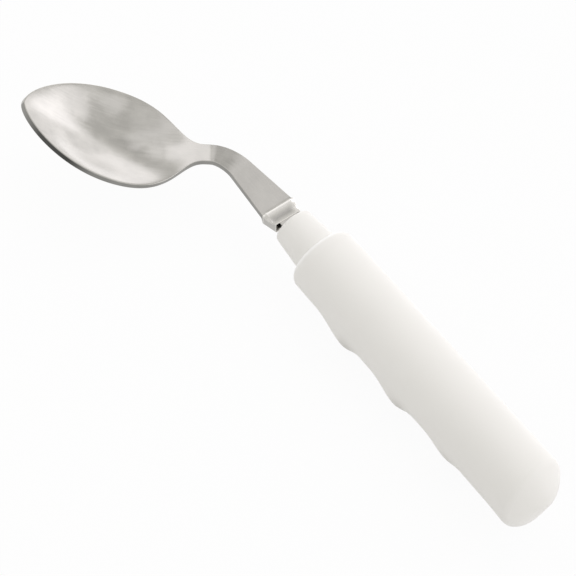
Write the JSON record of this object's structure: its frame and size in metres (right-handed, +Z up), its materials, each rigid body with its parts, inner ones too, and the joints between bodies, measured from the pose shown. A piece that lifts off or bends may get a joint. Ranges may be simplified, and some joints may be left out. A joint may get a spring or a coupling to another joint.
{
  "type": "adaptive teaspoon",
  "caption": "Teaspoon whose bowl is angled to the left on a bent flat stem, bonded into a thick white handle with finger ridges below, for a weak grip or a stiff wrist.",
  "frame": {"origin": "centre of the footprint, at the height of the lowest finger ridge", "axes": "+X along the handle from the butt towards the bowl, +Y to the left, the side that the bowl turns to, +Z up out of the bowl"},
  "size_m": [0.1786, 0.0616, 0.0311],
  "materials": {
    "steel": "satin stainless steel, fine brushing along the stem and across the bowl",
    "resin": "cured casting resin, slightly glossy",
    "collar_plastic": "smooth off-white moulding, satin",
    "handle_plastic": "smooth off-white moulding, satin with a fine grain"
  },
  "bodies": {
    "root": {"spoon": "steel", "tang_resin": "resin", "collar_plug": "collar_plastic", "handle_shell": "handle_plastic"}
  },
  "joints": []
}
